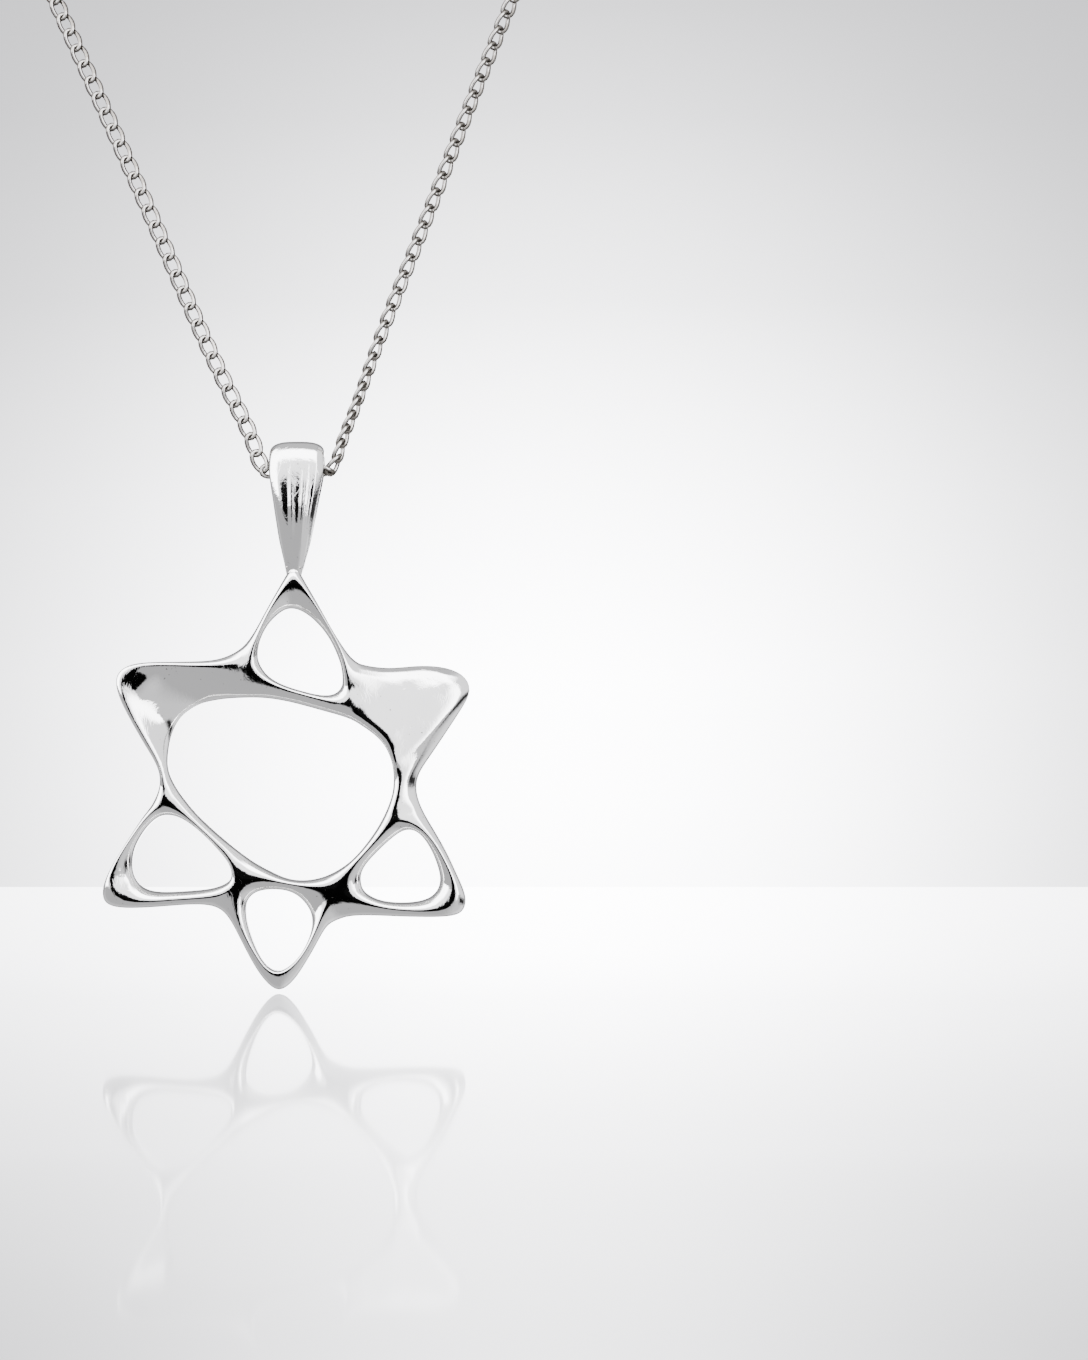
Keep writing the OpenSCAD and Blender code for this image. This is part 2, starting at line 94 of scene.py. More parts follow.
# The ring of struts and leaves round the great opening, clockwise
TOP_BAR = [
    [MEET_UPPER_LEFT, [378, 699], [425, 780], 1, 0],
    [[444, 740], [436, 700], [452, 748], 1, 0],
    [[496, 721], [496, 692], [496, 728], 1, 0],
    [[547, 708], [547, 681], [547, 715], 1, 0],
    [[599, 696], [599, 668], [597, 704], 1, 0],
    [[643, 685], [646, 657], [635, 706], 1, 0],
    [MEET_UPPER_RIGHT, [681, 647], [654, 725], 1, 0]
]
RIGHT_LEAF = [
    [MEET_UPPER_RIGHT, [681, 647], [708, 777], 1, 0],
    [[722, 662], [708, 632], [779, 767], 0.85, -0.5],
    [[764, 648], [736, 616], [850, 776], 0.75, -0.8],
    [[799, 628], [758, 599], [923, 775], 0.7, -1],
    [[818, 604], [773, 582], [983, 758], 0.65, -1, 0.9],
    [[826, 582], [782, 565], [1010, 718], 0.65, -1, 0.7],
    [[825, 561], [789, 549], [978, 670], 0.65, -1, 0.2],
    [[817, 540], [793, 531], [935, 613], 0.67, -0.8, 0.1],
    [[817, 517], [795, 511], [891, 555], 0.75, -0.55, 0],
    [[815, 493], [794, 490], [861, 518], 0.83, -0.35, 0],
    [[810, 468], [791, 470], [854, 484], 0.88, -0.3, 0],
    [[801, 440], [783, 448], [861, 456], 0.94, -0.2, 0],
    [MEET_RIGHT, [771, 422], [872, 432], 1, 0]
]
RIGHT_BAR = [
    [MEET_RIGHT, [771, 422], [809, 377], 1, 0],
    [[766, 379], [749, 386], [777, 354], 1, 0],
    [[733, 346], [719, 349], [742, 324], 1, 0],
    [[700, 315], [687, 316], [715, 298], 1, 0],
    [[670, 284], [654, 293], [703, 274], 1, 0],
    [MEET_LOWER_RIGHT, [618, 275], [706, 251], 1, 0]
]
BOTTOM_BAR = [
    [MEET_LOWER_RIGHT, [618, 275], [567, 193], 1, 0],
    [[588, 245], [580, 265], [545, 219], 1, 0],
    [[539, 251], [539, 262], [515, 236], 1, 0],
    [[496, 258], [498, 268], [482, 241], 1, 0],
    [[452, 264], [457, 285], [449, 241], 1, 0],
    [[411, 267], [422, 301], [417, 235], 1, 0],
    [MEET_LOWER_LEFT, [392, 318], [397, 219], 1, 0]
]
LEFT_BAR = [
    [MEET_LOWER_LEFT, [392, 318], [355, 274], 1, 0],
    [[354, 309], [359, 341], [347, 303], 1, 0],
    [[316, 347], [327, 364], [318, 333], 1, 0],
    [[275, 382], [288, 394], [283, 366], 1, 0],
    [[234, 413], [250, 427], [245, 395], 1, 0],
    [[201, 433], [223, 456], [209, 415], 1, 0],
    [MEET_LEFT, [201, 482], [176, 420], 1, 0]
]
LEFT_LEAF = [
    [MEET_LEFT, [201, 482], [138, 448], 1, 0],
    [[168, 487], [185, 510], [157, 484], 1, 0],
    [[166, 520], [178, 537], [157, 518], 1, 0.1],
    [[157, 551], [178, 561], [141, 551], 0.95, 0.3],
    [[149, 585], [180, 585], [116, 586], 0.85, 0.6],
    [[144, 615], [185, 608], [88, 630], 0.75, 0.85],
    [[136, 646], [194, 630], [61, 673], 0.7, 0.95],
    [[130, 674], [206, 648], [40, 716], 0.7, 0.95],
    [[136, 697], [221, 662], [36, 753], 0.7, 0.95],
    [[152, 721], [242, 675], [66, 778], 0.7, 1],
    [[190, 735], [266, 686], [125, 785], 0.7, 1],
    [[239, 742], [297, 692], [187, 785], 0.75, 0.9],
    [[294, 749], [327, 696], [253, 786], 0.85, 0.6],
    [[346, 759], [354, 698], [318, 789], 0.95, 0.3],
    [MEET_UPPER_LEFT, [378, 699], [370, 810], 1, 0]
]
RING = [TOP_BAR, RIGHT_LEAF, RIGHT_BAR, BOTTOM_BAR, LEFT_BAR, LEFT_LEAF]

# The four pierced points, each an arch from one meeting place to the next
TOP_ARCH = [
    [MEET_UPPER_LEFT, [425, 780], [370, 810], 1, 0],
    [[408, 809], [423, 811], [395, 832], 1, 0],
    [[425, 850], [434, 847], [417, 861], 1, 0],
    [[449, 897], [457, 881], [441, 901], 1, 0],
    [[477, 940], [485, 904], [470, 946], 1, 0],
    [[501, 969], [504, 912], [495, 984], 1, 0],
    [[521, 983], [520, 913], [522, 1026], 1, 0],
    [[545, 969], [539, 909], [549, 982], 1, 0],
    [[575, 933], [567, 894], [580, 937], 1, 0],
    [[607, 888], [599, 866], [613, 885], 1, 0],
    [[635, 845], [624, 834], [642, 841], 1, 0],
    [[657, 804], [643, 796], [667, 808], 1, 0],
    [[667, 761], [652, 771], [681, 793], 1, 0],
    [[673, 718], [655, 744], [696, 783], 1, 0],
    [MEET_UPPER_RIGHT, [654, 725], [708, 777], 1, 0]
]
RIGHT_ARCH = [
    [MEET_RIGHT, [809, 377], [872, 432], 1, 0],
    [[834, 405], [831, 384], [888, 407], 1, 0],
    [[872, 386], [854, 382], [906, 382], 1, 0],
    [[905, 355], [876, 365], [927, 351], 1, 0],
    [[929, 319], [897, 336], [947, 318], 1, 0],
    [[951, 281], [913, 302], [966, 281], 1, 0],
    [[962, 248], [923, 269], [983, 249], 1, 0],
    [[959, 222], [918, 244], [995, 217], 1, 0],
    [[943, 200], [901, 225], [985, 184], 1, 0],
    [[908, 190], [875, 215], [946, 175], 1, 0],
    [[858, 190], [839, 210], [894, 174], 1, 0],
    [[807, 193], [800, 210], [826, 175], 1, 0],
    [[755, 200], [760, 214], [755, 178], 1, 0],
    [[706, 213], [729, 226], [692, 179], 1, 0],
    [[670, 226], [712, 238], [657, 174], 1, 0],
    [MEET_LOWER_RIGHT, [706, 251], [629, 164], 1, 0]
]
BOTTOM_ARCH = [
    [MEET_LOWER_RIGHT, [567, 193], [629, 164], 1, 0],
    [[613, 207], [573, 171], [614, 155], 1, 0],
    [[591, 160], [571, 145], [598, 133], 1, 0],
    [[569, 119], [560, 117], [579, 101], 1, 0],
    [[543, 81], [541, 85], [557, 68], 1, 0],
    [[512, 52], [512, 58], [526, 25], 1, 0],
    [[479, 38], [479, 42], [482, -10], 1, 0],
    [[447, 51], [449, 57], [440, 24], 1, 0],
    [[421, 84], [426, 88], [412, 61], 1, 0],
    [[392, 126], [408, 125], [385, 106], 1, 0],
    [[370, 169], [393, 167], [361, 149], 1, 0],
    [[361, 214], [391, 200], [339, 181], 1, 0],
    [MEET_LOWER_LEFT, [397, 219], [316, 198], 1, 0]
]
LEFT_ARCH = [
    [MEET_LOWER_LEFT, [355, 274], [316, 198], 1, 0],
    [[335, 228], [343, 257], [286, 204], 1, 0],
    [[291, 222], [307, 244], [245, 205], 1, 0],
    [[237, 219], [261, 239], [196, 202], 1, 0],
    [[179, 216], [209, 236], [144, 198], 1, 0],
    [[125, 212], [157, 234], [92, 196], 1, 0],
    [[76, 213], [119, 240], [44, 196], 1, 0],
    [[35, 225], [95, 256], [3, 206], 1, 0],
    [[16, 250], [82, 279], [-3, 238], 1, 0],
    [[24, 286], [80, 308], [10, 274], 1, 0],
    [[51, 329], [86, 339], [40, 321], 1, 0],
    [[84, 372], [106, 372], [76, 370], 1, 0],
    [[116, 411], [130, 399], [108, 413], 1, 0],
    [[144, 434], [153, 415], [126, 433], 1, 0],
    [MEET_LEFT, [176, 420], [138, 448], 1, 0]
]
ARCHES = [TOP_ARCH, RIGHT_ARCH, BOTTOM_ARCH, LEFT_ARCH]

# Rows of the bail from its top down the front: the outer surface [y, z], the inner surface
# [y, z], the half width and the ribs' height. Heights are thousandths of the bail's height, outer
# depths of half its depth, inner depths of half its hollow, widths of half its width.
BAIL_ROWS = [
    [[0, 0], [0, 111], 1000, 0],
    [[400, 14], [350, 120], 1000, 0],
    [[700, 60], [680, 145], 1000, 150],
    [[855, 150], [880, 190], 1000, 550],
    [[950, 275], [1000, 250], 980, 900],
    [[1000, 395], [1000, 345], 905, 1000],
    [[1000, 520], [950, 445], 810, 1000],
    [[970, 612], [860, 545], 735, 900],
    [[890, 698], [720, 625], 665, 500],
    [[760, 776], [540, 692], 610, 200],
    [[610, 846], [340, 747], 550, 50],
    [[480, 920], [160, 790], 480, 0],
    [[390, 990], [70, 815], 410, 0],
    [[300, 1065], [20, 827], 350, 0],
    [[0, 1095], [0, 830], 320, 0]
]

# Points of the chain's two halves from the bail to the nape: thousandths of the reach from the
# bail's side to the loop's widest part, of NAPE_BACK and of NAPE_RISE
RIGHT_FRONT_ROUTE = [
    [2, 0, 5], [12, 0, 20], [40, 0, 41], [84, 1, 86], [167, 3, 156], [250, 10, 230], [361, 29, 329],
    [487, 62, 426], [640, 124, 529], [793, 220, 632], [924, 344, 728]
]
LEFT_FRONT_ROUTE = [
    [2, 0, 5], [12, 0, 20], [44, 0, 41], [110, 1, 86], [198, 4, 156], [296, 11, 231], [429, 31, 329],
    [553, 66, 421], [695, 128, 523], [826, 221, 627], [935, 344, 725]
]
BACK_ROUTE = [
    [1000, 488, 808], [989, 641, 875], [880, 785, 926], [684, 890, 963], [444, 957, 985],
    [200, 990, 997]
]


# The star and its bail

# Subdivision draws each curve in from its control points, so a section starts this much wider
STEPS_ACROSS = 4
STAR_LEVELS = 2
SWELL = 6 / (4 + 2 * math.cos(math.pi / 2 / STEPS_ACROSS))
MERGE = 1e-7
# The sections' power where struts meet and between them, 1 being an ellipse, and how many rows lie
# between the two. The bottom arch stays nearly as full all along.
MEET_POWER = 0.65
STRUT_POWER = 0.8
MEET_REACH = 3
BOTTOM_REACH = 16
# Where the faces lean from the camera: place in thousandths of the star's width and height, reach
# sideways and upwards in millimetres, sideways and upward tilt in degrees
TILTS = [
    [[90, 747], [2.4, 2.4], -6, 8], [[66, 713], [1.6, 1.6], 6, 7], [[120, 746], [1.6, 1.6], -5, 6],
    [[930, 765], [2.8, 2.8], 3, 12], [[845, 775], [2, 2], 0, 5], [[893, 722], [1.8, 1.8], 6, 7],
    [[825, 420], [1.3, 1.5], 0, 10], [[812, 555], [1.2, 1.2], 0, 5], [[673, 708], [1.8, 1.8], 2, 10],
    [[910, 751], [0.8, 0.7], -3, -17], [[938, 744], [0.8, 0.6], -3, -14],
    [[862, 768], [1.0, 0.6], 0, -9], [[981, 680], [1.0, 1.0], 0, 6],
    [[395, 787], [1.4, 1.2], -2, 6], [[45, 249], [1.4, 1.4], 7, 7], [[167, 471], [1.3, 1.3], 0, 8]
]


def star_point(share, depth):
    """A point of the star from its [x, z] in thousandths, at a depth behind its middle plane."""
    return np.array([STAR_LEFT + share[0] / THOUSAND * STAR_WIDTH, SEAT.y + depth,
                     STAR_BOTTOM + share[1] / THOUSAND * STAR_HEIGHT])


def side_point(crest, edge, half_thickness, lean, step, face, power):
    """A point of one side of a section. Step 0 is the crest and the last step is the edge."""
    angle = math.pi / 2 * step / STEPS_ACROSS
    out = SWELL * math.sin(angle) ** power
    rise = SWELL * math.cos(angle) ** power if step < STEPS_ACROSS else 0
    bend = edge[1] - crest[1] - lean
    point = crest + (edge - crest) * out
    point[1] = crest[1] + lean * out + bend * out * out + face * half_thickness * rise
    return point


def section(row, rows_off, reach):
    """The closed section of a strut or leaf: back from the inner to the outer edge, then the front."""
    crest_share, inner_share, outer_share, thick, leaf, *start = row
    crest = star_point(crest_share, leaf * LEAF_WEB_OFFSET)
    inner = star_point(inner_share, leaf * LEAF_INNER_OFFSET)
    outer = star_point(outer_share, -leaf * LEAF_RIM_OFFSET)
    runs = [math.hypot(*(edge - crest)[[0, 2]]) for edge in (inner, outer)]
    lean_share = start[0] if start else min(1, rows_off)
    lean = lean_share * (outer[1] - inner[1]) / sum(runs)
    power = MEET_POWER + (STRUT_POWER - MEET_POWER) * min(1, rows_off / reach)
    half = thick * STAR_THICKNESS / 2
    steps = range(STEPS_ACROSS + 1)

    def side(edge, edge_lean, face):
        return [side_point(crest, edge, half, edge_lean, i, face, power) for i in steps]

    inner_back, inner_front = [side(inner, -lean * runs[0], face) for face in (1, -1)]
    outer_back, outer_front = [side(outer, lean * runs[1], face) for face in (1, -1)]
    return inner_back[:0:-1] + outer_back + outer_front[-2:0:-1] + inner_front[:-1]


def add_rings(mesh, rings, closed=False):
    """Joins rings of points with four-sided faces."""
    verts = [[mesh.verts.new(point) for point in ring] for ring in rings]
    pairs = list(zip(verts, verts[1:])) + ([(verts[-1], verts[0])] if closed else [])
    for near, far in pairs:
        for i in range(len(near)):
            j = (i + 1) % len(near)
            mesh.faces.new((near[i], near[j], far[j], far[i]))


def finished(mesh, name):
    """A smooth object from a bmesh, its doubles merged and its faces turned outwards."""
    bmesh.ops.remove_doubles(mesh, verts=mesh.verts, dist=MERGE)
    bmesh.ops.recalc_face_normals(mesh, faces=mesh.faces)
    data = bpy.data.meshes.new(name)
    mesh.to_mesh(data)
    mesh.free()
    data.shade_smooth()
    piece = bpy.data.objects.new(name, data)
    bpy.context.collection.objects.link(piece)
    return piece


def make_plain(piece):
    """Turns an object's live modifiers into its own mesh."""
    graph = bpy.context.evaluated_depsgraph_get()
    data = bpy.data.meshes.new_from_object(piece.evaluated_get(graph))
    piece.modifiers.clear()
    piece.data = data
    return piece


def lean_faces(piece):
    """Bends the star's faces by the tilts, each fading out at its reach."""
    points = np.array([vert.co for vert in piece.data.vertices])
    for share, reach, side, up in TILTS:
        offs = points - star_point(share, 0)
        apart = (offs[:, 0] * THOUSAND / reach[0]) ** 2 + (offs[:, 2] * THOUSAND / reach[1]) ** 2
        fade = np.clip(1 - apart, 0, 1) ** 2
        rise = offs[:, 0] * math.tan(math.radians(side)) + offs[:, 2] * math.tan(math.radians(up))
        points[:, 1] += fade * rise
    piece.data.vertices.foreach_set("co", points.ravel())
    piece.data.update()
    return piece


def build_star():
    """The struts, leaves and arches as one skin, rounded by subdivision and leaned."""
    mesh = bmesh.new()
    for strip in RING + ARCHES:
        last = len(strip) - 1
        reach = BOTTOM_REACH if strip is BOTTOM_ARCH else MEET_REACH
        add_rings(mesh, [section(row, min(i, last - i), reach) for i, row in enumerate(strip)])
    star = finished(mesh, "Star")
    rounding = star.modifiers.new("Rounding", "SUBSURF")
    rounding.levels = rounding.render_levels = STAR_LEVELS
    rounding.boundary_smooth = "ALL"
    return lean_faces(make_plain(star))


BAIL_STEPS_ALONG = 6
BAIL_STEPS_ROUND = 96
BAIL_POWER = 2 / 3
# The ribs and grooves across the strap's front: places in thousandths of its half width, heights
# in thousandths of BAIL_RIB
BAIL_RELIEF = [
    [-1000, 0], [-670, 930], [-300, -40], [-140, 780], [20, -150], [190, -140], [300, 620], [335, 470],
    [410, 980], [530, 400], [560, 560], [620, 480], [750, 1380], [830, 700], [1000, 0]
]


def smooth(points, t):
    """A point of a cubic B-spline, which four neighbouring points draw between them."""
    a, b, c, d = points
    total = (1 - t) ** 3 * a + (3 * t**3 - 6 * t**2 + 4) * b
    total = total + (-3 * t**3 + 3 * t**2 + 3 * t + 1) * c + t**3 * d
    return total / 6


def smooth_loop(rows, steps):
    """A closed smooth curve from its control points, with so many steps between two of them."""
    n = len(rows)
    fours = [[rows[(i + k) % n] for k in (-1, 0, 1, 2)] for i in range(n)]
    return [smooth(four, j / steps) for four in fours for j in range(steps)]


def smooth_path(rows, steps):
    """An open smooth curve from its first control point to its last."""
    rows = [2 * rows[0] - rows[1], *rows, 2 * rows[-1] - rows[-2]]
    fours = [rows[i:i + 4] for i in range(len(rows) - 3)]
    path = [smooth(four, j / steps) for four in fours for j in range(steps)]
    return path + [smooth(fours[-1], 1)]


def relief(across):
    """How high the ribs stand at a place across the strap, as a share of BAIL_RIB."""
    places, heights = zip(*BAIL_RELIEF)
    return float(np.interp(across * THOUSAND, places, heights)) / THOUSAND


def bail_ring(row):
    """One ring round the strap, from its outer and inner surfaces, its half width and its ribs."""
    outer_y, outer_z, inner_y, inner_z, width, rib_share = row
    points = []
    for i in range(BAIL_STEPS_ROUND + 1):
        angle = math.pi * i / BAIL_STEPS_ROUND
        across = math.copysign(abs(math.cos(angle)) ** BAIL_POWER, math.cos(angle))
        rise = math.sin(angle) ** BAIL_POWER if 0 < i < BAIL_STEPS_ROUND else 0
        rib = rib_share * BAIL_RIB * relief(across) * rise
        y = inner_y + (outer_y - inner_y) * rise
        down = inner_z + (outer_z - inner_z) * rise
        x = SEAT.x - BAIL_LEAN * min(1, down / BAIL_HEIGHT) + across * width
        points.append((x, SEAT.y + y - rib, BAIL_TOP - down))
    return points


def build_bail():
    """The strap loop, down its front and up its back. The ribs are on the front alone."""
    rows = []
    for side, source in ((-1, BAIL_ROWS), (1, BAIL_ROWS[-2:0:-1])):
        for outer, inner, width, rib in source:
            rows.append(np.array([
                side * outer[0] / THOUSAND * BAIL_HALF_DEPTH, outer[1] / THOUSAND * BAIL_HEIGHT,
                side * inner[0] / THOUSAND * HOLLOW_HALF_DEPTH, inner[1] / THOUSAND * BAIL_HEIGHT,
                width / THOUSAND * BAIL_WIDTH / 2, rib / THOUSAND if side < 0 else 0]))
    mesh = bmesh.new()
    add_rings(mesh, [bail_ring(row) for row in smooth_loop(rows, BAIL_STEPS_ALONG)], closed=True)
    return finished(mesh, "Bail")


# Beads of solder at the bail's foot: place in millimetres from the star's tip, radius
SOLDER_BEADS = [
    [0.05, 1.45, 0.11], [-0.62, 1.1, 0.13], [0.66, 1.08, 0.14], [-0.1, 0.5, 0.09], [0.1, 1.95, 0.06]
]
SOLDER_DEPTH = 0.00094
SOLDER_FINENESS = 3
STAR_TIP = [521, 983]


def build_solder():
    mesh = bmesh.new()
    tip = star_point(STAR_TIP, -SOLDER_DEPTH)
    for x, z, radius in SOLDER_BEADS:
        place = Matrix.Translation(tip + np.array([x, 0, z]) / THOUSAND)
        bmesh.ops.create_icosphere(
            mesh, subdivisions=SOLDER_FINENESS, radius=radius / THOUSAND, matrix=place)
    return finished(mesh, "Solder")


# The curb chain: links placed along the same route as the chain's tubes

LINK_LENGTH = 0.00264
LINK_WIRE = 0.00046
# The power of a link's oval across, 1 being an ellipse
LINK_FULLNESS = 0.72
LINK_STEPS = 16
WIRE_SIDES = 5
LINK_TWIST = math.radians(29)
ROUTE_STEPS = 24
END_RINGS = {1: "end_ring_right", -1: "end_ring_left"}
# The chain hangs this much lower beside the strap than at its seat
CHAIN_DIP = 0.0005
# How far the links turn from facing front, in degrees, and how far apart they lie, in millimetres,
# at places along the chain in millimetres from the seat, minus to the left
CHAIN_TURNS = [(-240, 0), (-5, 0), (4, 62), (12, 62), (20, 46), (70, 40), (110, 0), (240, 0)]
LINK_PITCHES = [(-240, 1.72), (-4, 1.72), (4, 1.46), (12, 1.46), (18, 1.7), (240, 1.7)]


def chain_route(side, front):
    """The middle line of one half of the chain, from the seat to its end ring."""
    ring_low, ring_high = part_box(END_RINGS[side])
    end_x = ring_high[0] if side > 0 else ring_low[0]
    dips = ((0, 0), (BAIL_WIDTH / 4, CHAIN_DIP / 4), (BAIL_WIDTH / 2, CHAIN_DIP),
            (BAIL_WIDTH / 2 + CHAIN_RADIUS / 2, CHAIN_DIP))
    start = [SEAT + Vector((side * x, 0, -dip)) for x, dip in dips]
    reach = LOOP_WIDTH / 2 - CHAIN_OUT
    middle = [
        SEAT + Vector((side * (CHAIN_OUT + x / THOUSAND * reach), y / THOUSAND * NAPE_BACK,
                       z / THOUSAND * NAPE_RISE))
        for x, y, z in front + BACK_ROUTE]
    points = [np.array(p) for p in start + middle + [Vector((end_x, 0, 0))]]
    return np.array(smooth_path(points, ROUTE_STEPS))


def points_at(path, along, places):
    """Points of a path at places along it."""
    return np.stack([np.interp(places, along, path[:, k]) for k in range(3)], axis=1)


def link_places(side, front):
    """Where each link sits, which way the chain runs there and which way the link faces."""
    path = chain_route(side, front)
    steps = np.linalg.norm(np.diff(path, axis=0), axis=1)
    along = np.concatenate([[0], np.cumsum(steps)])
    pitch_at, pitches = zip(*LINK_PITCHES)
    links_in_step = steps * THOUSAND / np.interp(side * along[1:] * THOUSAND, pitch_at, pitches)
    counted = np.concatenate([[0], np.cumsum(links_in_step)])
    count = int(counted[-1])
    places = np.interp((np.arange(count) + 0.5) / count * counted[-1], counted, along)
    ahead = points_at(path, along, places + LINK_LENGTH / 3)
    behind = points_at(path, along, places - LINK_LENGTH / 3)
    facing = np.array([0.0, -1.0, 0.0])
    turns_at, turns = zip(*CHAIN_TURNS)
    runs, faces = [], []
    for place, step in zip(places, side * (ahead - behind)):
        run = step / np.linalg.norm(step)
        facing = facing - run * facing.dot(run)
        facing = facing / np.linalg.norm(facing)
        turn = math.radians(np.interp(side * place * THOUSAND, turns_at, turns))
        runs.append(run)
        faces.append(facing * math.cos(turn) + np.cross(run, facing) * math.sin(turn))
    return points_at(path, along, places), np.array(runs), np.array(faces)


class Tree:
    """A small helper that adds nodes to a tree and links them."""

    def __init__(self, tree):
        self.tree = tree

    def add(self, kind, inputs=None, **settings):
        node = self.tree.nodes.new(kind)
        for key, value in settings.items():
            setattr(node, key, value)
        for key, value in (inputs or {}).items():
            self.put(node.inputs[key], value)
        return node

    def put(self, socket, value):
        if isinstance(value, bpy.types.NodeSocket):
            self.tree.links.new(value, socket)
        else:
            socket.default_value = value

    def math(self, operation, a, b=0.0, c=0.0):
        return self.add("ShaderNodeMath", {0: a, 1: b, 2: c}, operation=operation).outputs[0]

    def rise(self, value, low, high):
        """0 up to low and 1 from high on, or the other way round where low is the larger."""
        node = self.add("ShaderNodeMapRange", {"Value": value, "From Min": low, "From Max": high})
        return node.outputs[0]


def add_inputs(sockets, sizes):
    """Number inputs of a node group, by name, each with its first value."""
    for name, value in sizes:
        sockets.new_socket(name, in_out="INPUT", socket_type="NodeSocketFloat").default_value = value


def bent_oval(t, given):
    """The middle line of one curb link: a full oval, twisted along its length."""
    circle = t.add("GeometryNodeCurvePrimitiveCircle", {"Resolution": LINK_STEPS, "Radius": 1.0})
    place = t.add("ShaderNodeSeparateXYZ", {0: t.add("GeometryNodeInputPosition").outputs[0]}).outputs
    half_length = t.math("MULTIPLY", t.math("SUBTRACT", given["Link length"], given["Wire"]), 0.5)
    half_width = t.math("MULTIPLY", t.math("SUBTRACT", given["Link width"], given["Wire"]), 0.5)
    full = t.math("POWER", t.math("ABSOLUTE", place[1]), LINK_FULLNESS)
    across = t.math("MULTIPLY", t.math("MULTIPLY", full, t.math("SIGN", place[1])), half_width)
    angle = t.math("MULTIPLY", place[0], given["Twist"])
    bent = t.add("ShaderNodeCombineXYZ", {
        0: t.math("MULTIPLY", across, t.math("COSINE", angle)),
        1: t.math("MULTIPLY", across, t.math("SINE", angle)),
        2: t.math("MULTIPLY", place[0], half_length)}).outputs[0]
    moved = {"Geometry": circle.outputs["Curve"], "Position": bent}
    return t.add("GeometryNodeSetPosition", moved).outputs[0]


def named_vector(t, name):
    """A vector that each point of the chain carries."""
    node = t.add("GeometryNodeInputNamedAttribute", {"Name": name}, data_type="FLOAT_VECTOR")
    return node.outputs["Attribute"]


def curb_tree():
    """Geometry Nodes that bend one curb link from wire and set it on every point."""
    tree = bpy.data.node_groups.new("Curb chain", "GeometryNodeTree")
    sockets = tree.interface
    sockets.new_socket("Points", in_out="INPUT", socket_type="NodeSocketGeometry")
    add_inputs(sockets, (("Link length", LINK_LENGTH), ("Link width", CHAIN_WIDTH), ("Wire", LINK_WIRE),
                         ("Twist", LINK_TWIST)))
    sockets.new_socket("Silver", in_out="INPUT", socket_type="NodeSocketMaterial")
    sockets.new_socket("Chain", in_out="OUTPUT", socket_type="NodeSocketGeometry")
    t = Tree(tree)
    given = t.add("NodeGroupInput").outputs
    wire = t.add("GeometryNodeCurvePrimitiveCircle", {
        "Resolution": WIRE_SIDES, "Radius": t.math("MULTIPLY", given["Wire"], 0.5)}).outputs["Curve"]
    link = t.add("GeometryNodeCurveToMesh", {
        "Curve": bent_oval(t, given), "Profile Curve": wire}).outputs[0]
    run = named_vector(t, "run")
    facing = named_vector(t, "facing")
    turned = t.add("FunctionNodeAxesToRotation", {"Primary Axis": run, "Secondary Axis": facing},
                   primary_axis="Z", secondary_axis="Y").outputs[0]
    spots = t.add("GeometryNodeMeshToPoints", {"Mesh": given["Points"]}).outputs[0]
    links = t.add("GeometryNodeInstanceOnPoints", {
        "Points": spots, "Instance": link, "Rotation": turned}).outputs[0]
    whole = t.add("GeometryNodeRealizeInstances", {"Geometry": links}).outputs[0]
    soft = t.add("GeometryNodeSetShadeSmooth", {"Geometry": whole}).outputs[0]
    done = t.add("GeometryNodeSetMaterial", {"Geometry": soft, "Material": given["Silver"]}).outputs[0]
    t.add("NodeGroupOutput", {"Chain": done})
    return tree


def build_chain(name, side, front, tree, silver):
    """One half of the chain: a point for each link, with its directions, then the links on them."""
    centres, runs, faces = link_places(side, front)
    data = bpy.data.meshes.new(name)
    data.from_pydata([tuple(p) for p in centres], [], [])
    for key, values in (("run", runs), ("facing", faces)):
        attribute = data.attributes.new(key, "FLOAT_VECTOR", "POINT")
        attribute.data.foreach_set("vector", values.astype(np.float32).ravel())
    piece = bpy.data.objects.new(name, data)
    bpy.context.collection.objects.link(piece)
    links = piece.modifiers.new("Links", "NODES")
    links.node_group = tree
    for item in tree.interface.items_tree:
        if item.name == "Silver":
            links[item.identifier] = silver
    return make_plain(piece)


# Materials

# The silver's finish: heights in metres, scales in waves or cells to the metre
WAVE_SCALE = 420.0
WAVE_HEIGHT = 0.00003
PEEL_SCALE = 3000.0
PEEL_HEIGHT = 0.000006
# Clouds make the polish uneven and say where the scratches show
CLOUD_SCALE = 260.0
SCRATCHED_CLOUDS = (0.48, 0.6)
LEAST_ROUGHNESS = 0.01
# Two sets of long cells, each drawn out along its own direction and a little bent, have the
# scratches as their edges
SCRATCH_SCALE = 1500.0
SCRATCH_DEPTH = 0.000003
SCRATCH_TURNS = ((0.3, 0.6, 0.2), (-0.2, -0.9, 0.4))
SCRATCH_STRETCH = (1.0, 1.0, 0.07)
SCRATCH_WIDTH = 0.06
BEND_SCALE = 500.0
BEND_REACH = (0.002, 0.002, 0.002)
# Pits are the specks over a limit, which is lower in some patches
PIT_SCALE = 4200.0
PIT_LIMIT = 0.86
PIT_EDGE = 0.03
PIT_ROUGHNESS = 0.3
PATCH_SCALE = 330.0
PATCH_REACH = 0.28


def noise(t, place, scale, detail, roughness=0.5, output="Fac"):
    """Soft random spots over the surface, as a number or as a colour."""
    inputs = {"Vector": place, "Scale": scale, "Detail": detail, "Roughness": roughness}
    return t.add("ShaderNodeTexNoise", inputs).outputs[output]


